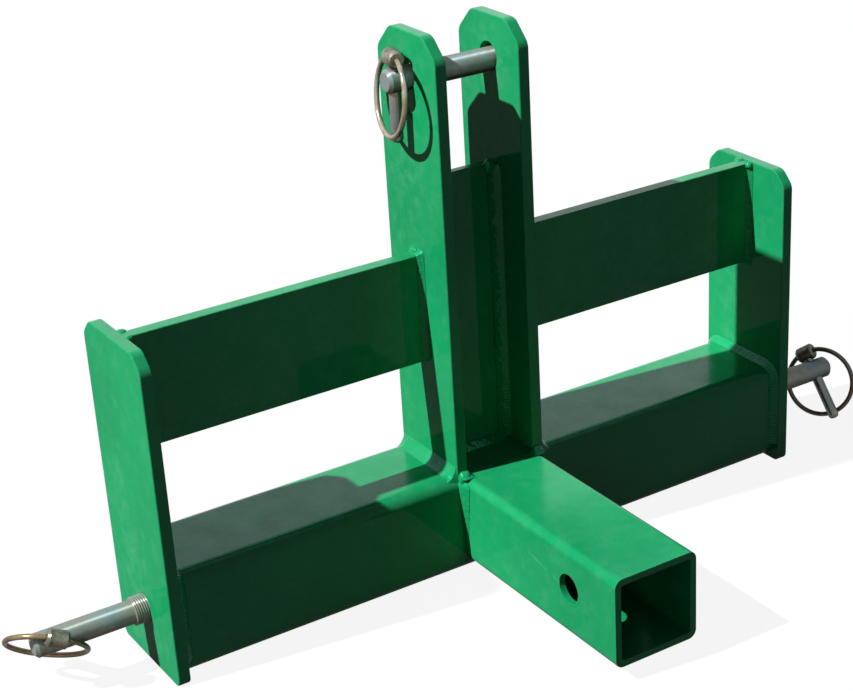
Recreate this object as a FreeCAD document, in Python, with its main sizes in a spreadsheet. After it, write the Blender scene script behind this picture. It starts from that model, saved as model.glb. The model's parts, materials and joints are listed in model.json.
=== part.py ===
import FreeCAD, Part
import Sketcher
import math
import os

# Three-point drawbar with a receiver tube. X runs from side to side, -Y is the front,
# Z is up. The origin is the middle of the lower hitch pins' axis. The sizes and the sketches
# count heights from the surface that the end plates stand on, and place() lowers each piece.

SIZES = {
    # End plates
    "plate_span": 505,
    "plate_thick": 8.5,
    "plate_depth": 83,
    "plate_height": 229,
    "plate_clip": 10,
    # Cross tube
    "tube_side": 72,
    "tube_wall": 5,
    "tube_corner": 9,
    "tube_inner_corner": 4,
    "tube_lift": 4,
    # Receiver tube
    "receiver_side": 63.5,
    "receiver_wall": 4.8,
    "receiver_corner": 6,
    "receiver_inner_corner": 2,
    "receiver_reach": 169.8,
    "receiver_lift": 12,
    "hitch_bore": 20,
    "hitch_setback": 49.3,
    "hitch_rise": 3,
    # Mast plates and the web between them
    "mast_gap": 53.2,
    "mast_thick": 8.45,
    "mast_depth": 69.5,
    "mast_top": 376.3,
    "mast_front_clip": 14,
    "mast_back_clip": 16,
    "mast_bore": 20,
    "mast_bore_drop": 28.3,
    "web_thick": 6,
    "web_top": 277.8,
    # Crossbars
    "bar_thick": 9.5,
    "bar_height": 76,
    "bar_bottom": 152,
    # Lower hitch pins, screwed into nuts inside the tube
    "lower_pin": 15.9,
    "lower_pin_reach": 76,
    "lower_thread": 19,
    "lower_thread_show": 9.5,
    "lower_linch_inset": 12.5,
    "pin_tip_bevel": 2,
    "nut_flats": 28.6,
    "nut_thick": 16,
    # Top link pin
    "top_pin": 15.9,
    "top_pin_reach": 15.95,
    "top_linch_inset": 7,
    "top_head": 25.4,
    "top_head_thick": 6,
    # Linch pins and their rings
    "linch": 8,
    "linch_tail": 55,
    "linch_tail_bevel": 2,
    "linch_head": 12,
    "linch_head_length": 14,
    "ring_wire": 3.6,
    "ring_radius": 25.7,
    "ring_bend": 4,
    "ring_end_gap": 1,
    # Directions of the three linch pins, seen along X, and of their rings' hinges
    "left_linch_angle": 329,
    "left_ring_angle": 297,
    "right_linch_angle": 230.7,
    "right_ring_angle": 328,
    "top_linch_angle": 270.7,
    "top_ring_angle": 11,
    # Weld beads
    "plate_bead": 6,
    "plate_bead_rise": 5,
    "bar_bead": 4,
    "mast_bead": 6,
    "web_bead": 7.6,
    "receiver_bead": 5,
    "receiver_side_bead": 7,
    "receiver_top_bead": 9,
    # Clearances
    "running_gap": 0.1,
    "part_gap": 0.3,
}

# Places worked out from the sizes, as expressions over the sheet
FACE = "Sizes.plate_span / 2"
PLATE_INSIDE = "(Sizes.plate_span / 2 - Sizes.plate_thick)"
MAST_INSIDE = "(Sizes.mast_gap / 2)"
MAST_OUTSIDE = "(Sizes.mast_gap / 2 + Sizes.mast_thick)"
TUBE_FRONT = "(Sizes.tube_side / 2)"
TUBE_TOP = "(Sizes.tube_lift + Sizes.tube_side)"
TUBE_MIDDLE = "(Sizes.tube_lift + Sizes.tube_side / 2)"
RECEIVER_TOP = "(Sizes.receiver_lift + Sizes.receiver_side)"
RECEIVER_MIDDLE = "(Sizes.receiver_lift + Sizes.receiver_side / 2)"
BAR_TOP = "(Sizes.bar_bottom + Sizes.bar_height)"
MAST_BORE_HEIGHT = "(Sizes.mast_top - Sizes.mast_bore_drop)"
TOP_PIN_HEIGHT = f"({MAST_BORE_HEIGHT} - Sizes.mast_bore / 2 + Sizes.top_pin / 2 + Sizes.running_gap)"
LOWER_LINCH_X = "(Sizes.plate_span / 2 + Sizes.lower_pin_reach - Sizes.lower_linch_inset)"
TOP_LINCH_X = "(Sizes.mast_gap / 2 + Sizes.mast_thick + Sizes.top_pin_reach - Sizes.top_linch_inset)"
LINCH_HOLE = "(Sizes.linch + 2 * Sizes.running_gap)"
RING_STUB = "(Sizes.linch_head_length / 2)"
RING_CENTRE = (
    "(Sizes.ring_bend + sqrt((Sizes.ring_radius - Sizes.ring_bend) ^ 2"
    " - (Sizes.linch_head_length / 2) ^ 2))"
)
RING_LEAN = (
    "asin((Sizes.linch / 2 + Sizes.ring_wire / 2 + Sizes.part_gap)"
    f" / ({RING_CENTRE} + Sizes.ring_radius))"
)
WIRE_SIDES = 6

doc = FreeCAD.newDocument("Drawbar")


def make_sheet():
    """Write the sizes into the sheet, one row each, with the name as the cell's alias."""
    sheet = doc.addObject("Spreadsheet::Sheet", "Sizes")
    for row, (name, number) in enumerate(SIZES.items(), start=1):
        sheet.set(f"A{row}", name)
        sheet.set(f"B{row}", str(number))
        sheet.setAlias(f"B{row}", name)
    doc.recompute()


def minus(expression):
    return f"-({expression})"


def make_body(name):
    body = doc.addObject("PartDesign::Body", name)
    body.Label = name
    return body


def make_sketch(body, name, role, offset=None):
    """Attach a sketch to one of the body's origin planes, moved along its normal by offset."""
    sketch = body.newObject("Sketcher::SketchObject", f"{body.Name}_{name}")
    plane = [item for item in body.Origin.OriginFeatures if item.Role == role][0]
    sketch.AttachmentSupport = (plane, [""])
    sketch.MapMode = "FlatFace"
    if offset:
        sketch.setExpression("AttachmentOffset.Base.z", offset)
    return sketch


def bind(sketch, kind, references, start, expression):
    """Add one named dimension to a sketch and tie it to the sheet."""
    index = sketch.addConstraint(Sketcher.Constraint(kind, *references, start))
    name = f"{kind}{index}"
    sketch.renameConstraint(index, name)
    sketch.setExpression(f"Constraints.{name}", expression)


def tie_across(sketch, geometry, end, start, expression):
    """Place one end of a sketch element to the side of the origin; a zero puts it on the axis."""
    if expression == "0":
        sketch.addConstraint(Sketcher.Constraint("PointOnObject", geometry, end, -2))
    else:
        bind(sketch, "DistanceX", (-1, 1, geometry, end), start, expression)


def tie_up(sketch, geometry, end, start, expression):
    """Place one end of a sketch element above the origin; a zero puts it on the axis."""
    if expression == "0":
        sketch.addConstraint(Sketcher.Constraint("PointOnObject", geometry, end, -1))
    else:
        bind(sketch, "DistanceY", (-1, 1, geometry, end), start, expression)


def tie_point(sketch, geometry, end, rough, point):
    """Place one end of a sketch element by a pair of expressions."""
    tie_across(sketch, geometry, end, rough.x, point[0])
    tie_up(sketch, geometry, end, rough.y, point[1])


def draw_polyline(sketch, points, closed):
    """Draw straight lines through points given as pairs of expressions.

    The lines start as a rough regular polygon, which the ties then pull into place."""
    count = len(points)
    first = sketch.GeometryCount
    turns = [2 * math.pi * step / count for step in range(count)]
    rough = [FreeCAD.Vector(math.cos(turn), math.sin(turn), 0) for turn in turns]
    lines = count if closed else count - 1
    for step in range(lines):
        sketch.addGeometry(Part.LineSegment(rough[step], rough[(step + 1) % count]))
    joints = lines if closed else lines - 1
    for step in range(joints):
        following = first + (step + 1) % lines
        sketch.addConstraint(Sketcher.Constraint("Coincident", first + step, 2, following, 1))
    for step in range(lines):
        tie_point(sketch, first + step, 1, rough[step], points[step])
    if not closed:
        tie_point(sketch, first + lines - 1, 2, rough[-1], points[-1])


def draw_rectangle(sketch, left, right, bottom, top):
    draw_polyline(sketch, [(left, bottom), (right, bottom), (right, top), (left, top)], True)


def draw_circle(sketch, centre, diameter):
    index = sketch.addGeometry(Part.Circle(FreeCAD.Vector(1, 1, 0), FreeCAD.Vector(0, 0, 1), 1))
    tie_point(sketch, index, 3, FreeCAD.Vector(1, 1, 0), centre)
    bind(sketch, "Diameter", (index,), 2, diameter)


def draw_wire_section(sketch, radius):
    """Draw a round wire's cross-section as a regular polygon about the sketch's origin."""
    turns = [360 * (step + 0.5) / WIRE_SIDES for step in range(WIRE_SIDES)]
    draw_polyline(sketch, [(f"{radius} * cos({turn})", f"{radius} * sin({turn})") for turn in turns], True)


def pad(body, sketch, length, both_ways=True):
    feature = body.newObject("PartDesign::Pad", f"{sketch.Name}_pad")
    feature.Profile = sketch
    feature.SideType = "Symmetric" if both_ways else "One side"
    feature.setExpression("Length", length)
    doc.recompute()
    return feature


def pocket(body, sketch, length):
    """Cut a profile both ways from its plane, and make sure that it took something away."""
    before = body.Shape.Volume
    feature = body.newObject("PartDesign::Pocket", f"{sketch.Name}_pocket")
    feature.Profile = sketch
    feature.SideType = "Symmetric"
    feature.setExpression("Length", length)
    doc.recompute()
    if body.Shape.Volume >= before:
        raise RuntimeError(f"{feature.Name} cut nothing")
    return feature


def long_edges(shape, direction, wanted):
    """Name the straight edges along a direction whose middle passes the wanted test."""
    names = []
    for number, edge in enumerate(shape.Edges, start=1):
        ends = [vertex.Point for vertex in edge.Vertexes]
        if len(ends) == 2 and (ends[1] - ends[0]).cross(direction).Length < 1e-6:
            if wanted((ends[0] + ends[1]) * 0.5):
                names.append(f"Edge{number}")
    return names


def rims(feature):
    """Name the round edges of a piece, each with the height of its lowest point."""
    edges = enumerate(feature.Shape.Edges, start=1)
    return {f"Edge{number}": edge.BoundBox.ZMin for number, edge in edges if edge.isClosed()}


def round_edges(body, feature, edges, radius):
    fillet = body.newObject("PartDesign::Fillet", f"{feature.Name}_round{len(body.Group)}")
    fillet.Base = (feature, edges)
    fillet.setExpression("Radius", radius)
    doc.recompute()
    return fillet


def bevel_edges(body, feature, edges, size):
    bevel = body.newObject("PartDesign::Chamfer", f"{feature.Name}_bevel{len(body.Group)}")
    bevel.Base = (feature, edges)
    bevel.setExpression("Size", size)
    doc.recompute()
    return bevel


def revolve(body, sketch):
    """Turn a half profile about the sketch's horizontal axis."""
    feature = body.newObject("PartDesign::Revolution", f"{sketch.Name}_turned")
    feature.Profile = sketch
    feature.ReferenceAxis = (sketch, ["H_Axis"])
    feature.Angle = 360
    doc.recompute()
    return feature


def sweep(body, section, spine):
    feature = body.newObject("PartDesign::AdditivePipe", f"{body.Name}_pipe")
    feature.Profile = section
    feature.Spine = (spine, [f"Edge{number + 1}" for number in range(spine.GeometryCount)])
    feature.Transition = "Right corner"
    doc.recompute()
    return feature


def place(item, x="0", y="0", z="0", turn="rotation(vector(0; 0; 1); 0)"):
    """Set a piece's place and turn, with its height counted from the surface below the plates."""
    item.setExpression("Placement", f"placement(vector({x}; {y}; {z} - {TUBE_MIDDLE}); {turn})")


def side_turn(side):
    """Right-hand pieces stand as drawn, left-hand ones are turned half round about Z."""
    return "rotation(vector(0; 0; 1); 0)" if side == "right" else "rotation(vector(0; 0; 1); 180)"


def side_x(side, distance):
    return distance if side == "right" else minus(distance)


def hollow_tube(body, role, side, corner, inner_corner, wall, middle, length, both_ways=True):
    """Pad a square, round its long edges, then cut the inside with its own rounded corners."""
    half = f"Sizes.{side} / 2"
    outline = make_sketch(body, "outline", role)
    draw_rectangle(outline, minus(half), half, f"{middle} - {half}", f"{middle} + {half}")
    block = pad(body, outline, length, both_ways)
    axis = FreeCAD.Vector(1, 0, 0) if role == "YZ_Plane" else FreeCAD.Vector(0, 1, 0)
    block = round_edges(body, block, long_edges(block.Shape, axis, lambda point: True), f"Sizes.{corner}")
    inside = make_sketch(body, "inside", role)
    draw_rounded_square(inside, f"{half} - Sizes.{wall}", middle, f"Sizes.{inner_corner}")
    return pocket(body, inside, f"{length} * 2 + Sizes.{side}")


def draw_rounded_square(sketch, half, middle, radius):
    """Draw a square of four lines joined by quarter arcs, centred on the vertical axis."""
    normal = FreeCAD.Vector(0, 0, 1)
    quarter = math.pi / 2
    corners = [FreeCAD.Vector(3 * x, 3 * y, 0) for x, y in ((1, 1), (-1, 1), (-1, -1), (1, -1))]
    for step, centre in enumerate(corners):
        circle = Part.Circle(centre, normal, 1)
        sketch.addGeometry(Part.ArcOfCircle(circle, step * quarter, (step + 1) * quarter))
    ends = [((3, 4), (-3, 4)), ((-4, 3), (-4, -3)), ((-3, -4), (3, -4)), ((4, -3), (4, 3))]
    for start, end in ends:
        sketch.addGeometry(Part.LineSegment(FreeCAD.Vector(*start, 0), FreeCAD.Vector(*end, 0)))
    for step, way in enumerate(("Horizontal", "Vertical", "Horizontal", "Vertical")):
        line = step + 4
        sketch.addConstraint(Sketcher.Constraint("Tangent", step, 2, line, 1))
        sketch.addConstraint(Sketcher.Constraint("Tangent", line, 2, (step + 1) % 4, 1))
        sketch.addConstraint(Sketcher.Constraint(way, line))
        bind(sketch, "Radius", (step,), 1, radius)
    inner = f"({half} - {radius})"
    tie_point(sketch, 0, 3, corners[0], (inner, f"{middle} + {inner}"))
    tie_point(sketch, 2, 3, corners[2], (minus(inner), f"{middle} - {inner}"))


def cross_tube():
    """The square tube between the end plates."""
    body = make_body("cross_tube")
    hollow_tube(
        body, "YZ_Plane", "tube_side", "tube_corner", "tube_inner_corner", "tube_wall",
        TUBE_MIDDLE, f"2 * {PLATE_INSIDE}",
    )
    place(body)
    return body


def receiver_tube():
    """The square socket in front, butted on the cross tube, with the hitch pin's hole."""
    body = make_body("receiver_tube")
    hollow_tube(
        body, "XZ_Plane", "receiver_side", "receiver_corner", "receiver_inner_corner", "receiver_wall",
        RECEIVER_MIDDLE, "Sizes.receiver_reach", both_ways=False,
    )
    hole = make_sketch(body, "hitch_hole", "YZ_Plane")
    draw_circle(
        hole,
        (minus("Sizes.receiver_reach - Sizes.hitch_setback"), f"{RECEIVER_MIDDLE} + Sizes.hitch_rise"),
        "Sizes.hitch_bore",
    )
    pocket(body, hole, "2 * Sizes.receiver_side")
    place(body, y=minus(TUBE_FRONT))
    return body


def end_plate(side):
    """One end plate with its two clipped top corners and the hole of the lower pin's thread."""
    body = make_body(f"{side}_end_plate")
    half = "Sizes.plate_depth / 2"
    clip_in = f"{half} - Sizes.plate_clip"
    clip_down = "Sizes.plate_height - Sizes.plate_clip"
    outline = make_sketch(body, "outline", "YZ_Plane")
    draw_polyline(outline, [
        (minus(half), "0"), (half, "0"), (half, clip_down), (clip_in, "Sizes.plate_height"),
        (minus(clip_in), "Sizes.plate_height"), (minus(half), clip_down),
    ], True)
    pad(body, outline, "Sizes.plate_thick")
    hole = make_sketch(body, "thread_hole", "YZ_Plane")
    draw_circle(hole, ("0", TUBE_MIDDLE), "Sizes.lower_thread + 2 * Sizes.running_gap")
    pocket(body, hole, "2 * Sizes.plate_thick")
    place(body, x=side_x(side, f"({FACE} - Sizes.plate_thick / 2)"))
    return body


def mast_plate(side):
    """One mast plate, clipped at the top, with the top link pin's hole."""
    body = make_body(f"{side}_mast_plate")
    half = "Sizes.mast_depth / 2"
    outline = make_sketch(body, "outline", "YZ_Plane")
    draw_polyline(outline, [
        (minus(half), TUBE_TOP), (half, TUBE_TOP),
        (half, "Sizes.mast_top - Sizes.mast_back_clip"),
        (f"{half} - Sizes.mast_back_clip", "Sizes.mast_top"),
        (minus(f"{half} - Sizes.mast_front_clip"), "Sizes.mast_top"),
        (minus(half), "Sizes.mast_top - Sizes.mast_front_clip"),
    ], True)
    pad(body, outline, "Sizes.mast_thick")
    hole = make_sketch(body, "pin_hole", "YZ_Plane")
    draw_circle(hole, ("0", MAST_BORE_HEIGHT), "Sizes.mast_bore")
    pocket(body, hole, "2 * Sizes.mast_thick")
    place(body, x=side_x(side, f"({MAST_INSIDE} + Sizes.mast_thick / 2)"))
    return body


def mast_web():
    """The plate that stands between the two mast plates, across the middle of their depth."""
    body = make_body("mast_web_plate")
    outline = make_sketch(body, "outline", "XZ_Plane")
    draw_rectangle(outline, minus(MAST_INSIDE), MAST_INSIDE, TUBE_TOP, "Sizes.web_top")
    pad(body, outline, "Sizes.web_thick")
    place(body)
    return body


def crossbar(side):
    """One flat bar on edge, from the mast plate out to the end plate."""
    body = make_body(f"{side}_crossbar")
    half = "Sizes.bar_thick / 2"
    outline = make_sketch(body, "outline", "YZ_Plane")
    draw_rectangle(outline, minus(half), half, "Sizes.bar_bottom", BAR_TOP)
    pad(body, outline, f"{PLATE_INSIDE} - {MAST_OUTSIDE}")
    place(body, x=side_x(side, f"(({PLATE_INSIDE} + {MAST_OUTSIDE}) / 2)"))
    return body


def linch_turn(which):
    """Turn a piece so that its own Z axis points from a linch pin's head to its tail."""
    return f"rotation(vector(1; 0; 0); Sizes.{which}_linch_angle - 90)"


def cross_hole(body, x):
    """Drill the linch pin's hole along the piece's own Z axis."""
    hole = make_sketch(body, "linch_hole", "XY_Plane")
    draw_circle(hole, (x, "0"), LINCH_HOLE)
    pocket(body, hole, "2 * Sizes.lower_thread")


def lower_pin(side):
    """A lower hitch pin: plain shank with a bevelled tip and a thicker threaded inner end."""
    body = make_body(f"{side}_lower_pin")
    shank = "Sizes.lower_pin / 2"
    thread = "Sizes.lower_thread / 2"
    inner = f"{PLATE_INSIDE} - Sizes.nut_thick"
    shoulder = f"{FACE} + Sizes.lower_thread_show"
    tip = f"{FACE} + Sizes.lower_pin_reach"
    profile = make_sketch(body, "profile", "XZ_Plane")
    draw_polyline(profile, [
        (inner, "0"), (inner, thread), (shoulder, thread), (shoulder, shank),
        (f"{tip} - Sizes.pin_tip_bevel", shank), (tip, f"{shank} - Sizes.pin_tip_bevel"), (tip, "0"),
    ], True)
    revolve(body, profile)
    cross_hole(body, LOWER_LINCH_X)
    place(body, z=TUBE_MIDDLE, turn=f"{linch_turn(side)} * {side_turn(side)}")
    return body


def pin_nut(side):
    """The hexagon nut inside the tube's end that holds the lower pin."""
    prism = doc.addObject("Part::Prism", f"{side}_nut_hexagon")
    prism.Polygon = 6
    prism.setExpression("Circumradius", "Sizes.nut_flats / sqrt(3)")
    prism.setExpression("Height", "Sizes.nut_thick")
    bore = doc.addObject("Part::Cylinder", f"{side}_nut_bore")
    bore.setExpression("Radius", "Sizes.lower_thread / 2 + Sizes.running_gap")
    bore.setExpression("Height", "Sizes.nut_thick")
    nut = doc.addObject("Part::Cut", f"{side}_pin_nut")
    nut.Base = prism
    nut.Tool = bore
    nut.Label = f"{side}_pin_nut"
    start = PLATE_INSIDE if side == "left" else f"({PLATE_INSIDE} - Sizes.nut_thick)"
    place(nut, x=side_x(side, start), z=TUBE_MIDDLE, turn="rotation(vector(0; 1; 0); 90)")
    return nut


def top_link_pin():
    """The loose pin through both mast plates: head on the right, linch pin hole on the left."""
    body = make_body("top_link_pin")
    shank = "Sizes.top_pin / 2"
    head = "Sizes.top_head / 2"
    tip = f"-({MAST_OUTSIDE} + Sizes.top_pin_reach)"
    seat = f"{MAST_OUTSIDE} + Sizes.part_gap"
    end = f"{seat} + Sizes.top_head_thick"
    profile = make_sketch(body, "profile", "XZ_Plane")
    draw_polyline(profile, [
        (tip, "0"), (tip, f"{shank} - Sizes.pin_tip_bevel"), (f"{tip} + Sizes.pin_tip_bevel", shank),
        (seat, shank), (seat, head), (end, head), (end, "0"),
    ], True)
    revolve(body, profile)
    cross_hole(body, minus(TOP_LINCH_X))
    place(body, z=TOP_PIN_HEIGHT, turn=linch_turn("top"))
    return body


def linch_place(which):
    """Give the head centre of a linch pin and the turn of its own frame.

    In that frame Z runs from head to tail and X is the ring's hinge."""
    x = {"left": minus(LOWER_LINCH_X), "right": LOWER_LINCH_X, "top": minus(TOP_LINCH_X)}[which]
    axis_height = TOP_PIN_HEIGHT if which == "top" else TUBE_MIDDLE
    held_pin = "top_pin" if which == "top" else "lower_pin"
    rise = f"(Sizes.{held_pin} / 2 + Sizes.linch_head / 2 + Sizes.part_gap)"
    y = f"-{rise} * cos(Sizes.{which}_linch_angle)"
    z = f"{axis_height} - {rise} * sin(Sizes.{which}_linch_angle)"
    turn = f"{linch_turn(which)} * rotation(vector(0; 0; 1); Sizes.{which}_ring_angle + 90)"
    return x, y, z, turn


def linch_pin(which):
    """A linch pin: round shaft with a bevelled tail, and a barrel head drilled for the ring."""
    body = make_body(f"{which}_linch_pin")
    barrel_end = make_sketch(body, "head", "YZ_Plane")
    draw_circle(barrel_end, ("0", "0"), "Sizes.linch_head")
    pad(body, barrel_end, "Sizes.linch_head_length")
    shaft_end = make_sketch(body, "shaft", "XY_Plane")
    draw_circle(shaft_end, ("0", "0"), "Sizes.linch")
    shaft = pad(body, shaft_end, "Sizes.linch_tail", both_ways=False)
    ends = rims(shaft)
    tail = max(ends, key=ends.get)
    bevel_edges(body, shaft, [tail], "Sizes.linch_tail_bevel")
    hole = make_sketch(body, "ring_hole", "YZ_Plane")
    draw_circle(hole, ("0", "0"), "Sizes.ring_wire + 2 * Sizes.running_gap")
    pocket(body, hole, "2 * Sizes.linch_head_length")
    x, y, z, turn = linch_place(which)
    place(body, x, y, z, turn)
    return body


def draw_ring_path(sketch):
    """Draw the ring's centreline: a stub, a small bend, the large arc, and the same back."""
    bend = SIZES["ring_bend"]
    radius = SIZES["ring_radius"]
    stub = SIZES["linch_head_length"] / 2
    start = SIZES["ring_end_gap"] / 2
    centre = bend + math.sqrt((radius - bend) ** 2 - stub ** 2)
    meet = math.atan2(bend - centre, stub)
    normal = FreeCAD.Vector(0, 0, 1)
    right_bend = Part.Circle(FreeCAD.Vector(stub, bend, 0), normal, bend)
    left_bend = Part.Circle(FreeCAD.Vector(-stub, bend, 0), normal, bend)
    large = Part.Circle(FreeCAD.Vector(0, centre, 0), normal, radius)
    sketch.addGeometry(Part.LineSegment(FreeCAD.Vector(start, 0, 0), FreeCAD.Vector(stub, 0, 0)))
    sketch.addGeometry(Part.ArcOfCircle(right_bend, -math.pi / 2, meet))
    sketch.addGeometry(Part.ArcOfCircle(large, meet, math.pi - meet))
    sketch.addGeometry(Part.ArcOfCircle(left_bend, -math.pi - meet, -math.pi / 2))
    sketch.addGeometry(Part.LineSegment(FreeCAD.Vector(-stub, 0, 0), FreeCAD.Vector(-start, 0, 0)))
    for step in range(4):
        sketch.addConstraint(Sketcher.Constraint("Tangent", step, 2, step + 1, 1))
    sketch.addConstraint(Sketcher.Constraint("PointOnObject", 0, 1, -1))
    sketch.addConstraint(Sketcher.Constraint("Horizontal", 0))
    sketch.addConstraint(Sketcher.Constraint("PointOnObject", 4, 2, -1))
    sketch.addConstraint(Sketcher.Constraint("Horizontal", 4))
    bind(sketch, "Radius", (1,), bend, "Sizes.ring_bend")
    bind(sketch, "Radius", (3,), bend, "Sizes.ring_bend")
    bind(sketch, "Radius", (2,), radius, "Sizes.ring_radius")
    bind(sketch, "DistanceX", (-1, 1, 0, 1), start, "Sizes.ring_end_gap / 2")
    bind(sketch, "DistanceX", (-1, 1, 0, 2), stub, RING_STUB)
    bind(sketch, "DistanceX", (4, 2, -1, 1), start, "Sizes.ring_end_gap / 2")
    bind(sketch, "DistanceX", (4, 1, -1, 1), stub, RING_STUB)


def linch_ring(which):
    """The snap ring: one wire whose two stubs turn in the head, leaning on the tail's side."""
    body = make_body(f"{which}_linch_ring")
    path = make_sketch(body, "path", "XZ_Plane")
    draw_ring_path(path)
    wire = make_sketch(body, "wire", "YZ_Plane", "Sizes.ring_end_gap / 2")
    draw_wire_section(wire, "Sizes.ring_wire / 2")
    doc.recompute()
    sweep(body, wire, path)
    lean = RING_LEAN if which == "right" else minus(RING_LEAN)
    x, y, z, turn = linch_place(which)
    place(body, x, y, z, f"{turn} * rotation(vector(1; 0; 0); {lean})")
    return body


def three_sided_bead(name, half_width, start, end, leg, corner, rise):
    """A fillet bead up one side of a bar or tube, over it and down the other side.

    It lies against a plate at x = 0, and start and end are the heights of its foot and its
    turn. The leg runs along the bar and the rise along the plate. The corner is the radius of
    the piece that it follows, or None where that is sharp."""
    body = make_body(name)
    spine = make_sketch(body, "spine", "YZ_Plane")
    points = [(minus(half_width), start), (minus(half_width), end), (half_width, end), (half_width, start)]
    if corner:
        draw_arch(spine, half_width, start, end, corner)
    else:
        draw_polyline(spine, points, False)
    section = make_sketch(body, "section", "XY_Plane", start)
    draw_polyline(section, [
        ("0", minus(half_width)), (leg, minus(half_width)), ("0", minus(f"{half_width} + {rise}")),
    ], True)
    doc.recompute()
    sweep(body, section, spine)
    return body


def draw_arch(sketch, half_width, start, end, radius):
    """Draw a line up, a quarter arc, a line across, a quarter arc and a line down."""
    normal = FreeCAD.Vector(0, 0, 1)
    quarter = math.pi / 2
    front = Part.Circle(FreeCAD.Vector(-3, 3, 0), normal, 1)
    back = Part.Circle(FreeCAD.Vector(3, 3, 0), normal, 1)
    sketch.addGeometry(Part.LineSegment(FreeCAD.Vector(-4, 1, 0), FreeCAD.Vector(-4, 3, 0)))
    sketch.addGeometry(Part.ArcOfCircle(front, quarter, 2 * quarter))
    sketch.addGeometry(Part.LineSegment(FreeCAD.Vector(-3, 4, 0), FreeCAD.Vector(3, 4, 0)))
    sketch.addGeometry(Part.ArcOfCircle(back, 0, quarter))
    sketch.addGeometry(Part.LineSegment(FreeCAD.Vector(4, 3, 0), FreeCAD.Vector(4, 1, 0)))
    for first, second in (((0, 2), (1, 2)), ((1, 1), (2, 1)), ((2, 2), (3, 2)), ((3, 1), (4, 1))):
        sketch.addConstraint(Sketcher.Constraint("Tangent", *first, *second))
    for line, way in ((0, "Vertical"), (2, "Horizontal"), (4, "Vertical")):
        sketch.addConstraint(Sketcher.Constraint(way, line))
    for arc in (1, 3):
        bind(sketch, "Radius", (arc,), 1, radius)
    inner = f"({half_width} - {radius})"
    tie_point(sketch, 1, 3, FreeCAD.Vector(-3, 3, 0), (minus(inner), f"{end} - {radius}"))
    tie_across(sketch, 3, 3, 3, inner)
    tie_up(sketch, 0, 1, 1, start)
    tie_up(sketch, 4, 2, 1, start)


def end_plate_weld(side):
    """The bead that follows the cross tube's rounded outline on the inside of an end plate."""
    body = three_sided_bead(
        f"{side}_end_plate_weld", TUBE_FRONT, "Sizes.tube_lift + Sizes.tube_corner", TUBE_TOP,
        "Sizes.plate_bead", "Sizes.tube_corner", "Sizes.plate_bead_rise",
    )
    turn = side_turn("left" if side == "right" else "right")
    place(body, x=side_x(side, PLATE_INSIDE), turn=turn)
    return body


def bar_mast_weld(side):
    """The bead round the front, top and back of a crossbar on its mast plate."""
    body = three_sided_bead(
        f"{side}_bar_mast_weld", "Sizes.bar_thick / 2", "Sizes.bar_bottom", BAR_TOP,
        "Sizes.bar_bead", None, "Sizes.bar_bead",
    )
    place(body, x=side_x(side, MAST_OUTSIDE), turn=side_turn(side))
    return body


def bar_plate_weld(side):
    """The bead round the front, underside and back of a crossbar on its end plate."""
    body = three_sided_bead(
        f"{side}_bar_plate_weld", "Sizes.bar_thick / 2", BAR_TOP, "Sizes.bar_bottom",
        "Sizes.bar_bead", None, "Sizes.bar_bead",
    )
    turn = side_turn("left" if side == "right" else "right")
    place(body, x=side_x(side, PLATE_INSIDE), turn=turn)
    return body


def web_weld():
    """The bead down one mast plate, along the foot of the web and up the other mast plate."""
    body = make_body("web_weld")
    spine = make_sketch(body, "spine", "XZ_Plane", "Sizes.web_thick / 2")
    draw_polyline(spine, [
        (minus(MAST_INSIDE), "Sizes.web_top"), (minus(MAST_INSIDE), TUBE_TOP),
        (MAST_INSIDE, TUBE_TOP), (MAST_INSIDE, "Sizes.web_top"),
    ], False)
    section = make_sketch(body, "section", "XY_Plane", "Sizes.web_top")
    face = "-Sizes.web_thick / 2"
    draw_polyline(section, [
        (minus(MAST_INSIDE), face), (f"{minus(MAST_INSIDE)} + Sizes.web_bead", face),
        (minus(MAST_INSIDE), f"{face} - Sizes.web_bead"),
    ], True)
    doc.recompute()
    sweep(body, section, spine)
    place(body)
    return body


def mast_weld(side, tube):
    """The bead along a mast plate's outer foot, cut to the tube's rounded top edges."""
    bead = make_body(f"{side}_mast_bead")
    section = make_sketch(bead, "section", "XZ_Plane")
    draw_polyline(section, [
        ("0", f"{TUBE_TOP} - Sizes.tube_wall"), ("Sizes.mast_bead", f"{TUBE_TOP} - Sizes.tube_wall"),
        ("Sizes.mast_bead", TUBE_TOP), ("0", f"{TUBE_TOP} + Sizes.mast_bead"),
    ], True)
    pad(bead, section, "Sizes.mast_depth")
    place(bead, x=side_x(side, MAST_OUTSIDE), turn=side_turn(side))
    weld = doc.addObject("Part::Cut", f"{side}_mast_weld")
    weld.Base = bead
    weld.Tool = tube
    weld.Label = f"{side}_mast_weld"
    return weld


def receiver_side_weld(side):
    """The bead up the receiver's side wall, where that meets the cross tube's front."""
    body = make_body(f"{side}_receiver_weld")
    foot = "Sizes.receiver_lift + Sizes.receiver_corner"
    head = f"{TUBE_TOP} - Sizes.tube_corner"
    section = make_sketch(body, "section", "XY_Plane", f"({foot} + {head}) / 2")
    bead = "Sizes.receiver_side_bead"
    draw_polyline(section, [("0", "0"), (side_x(side, bead), "0"), ("0", minus(bead))], True)
    pad(body, section, f"{head} - ({foot})")
    place(body, x=side_x(side, "Sizes.receiver_side / 2"), y=minus(TUBE_FRONT))
    return body


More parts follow.
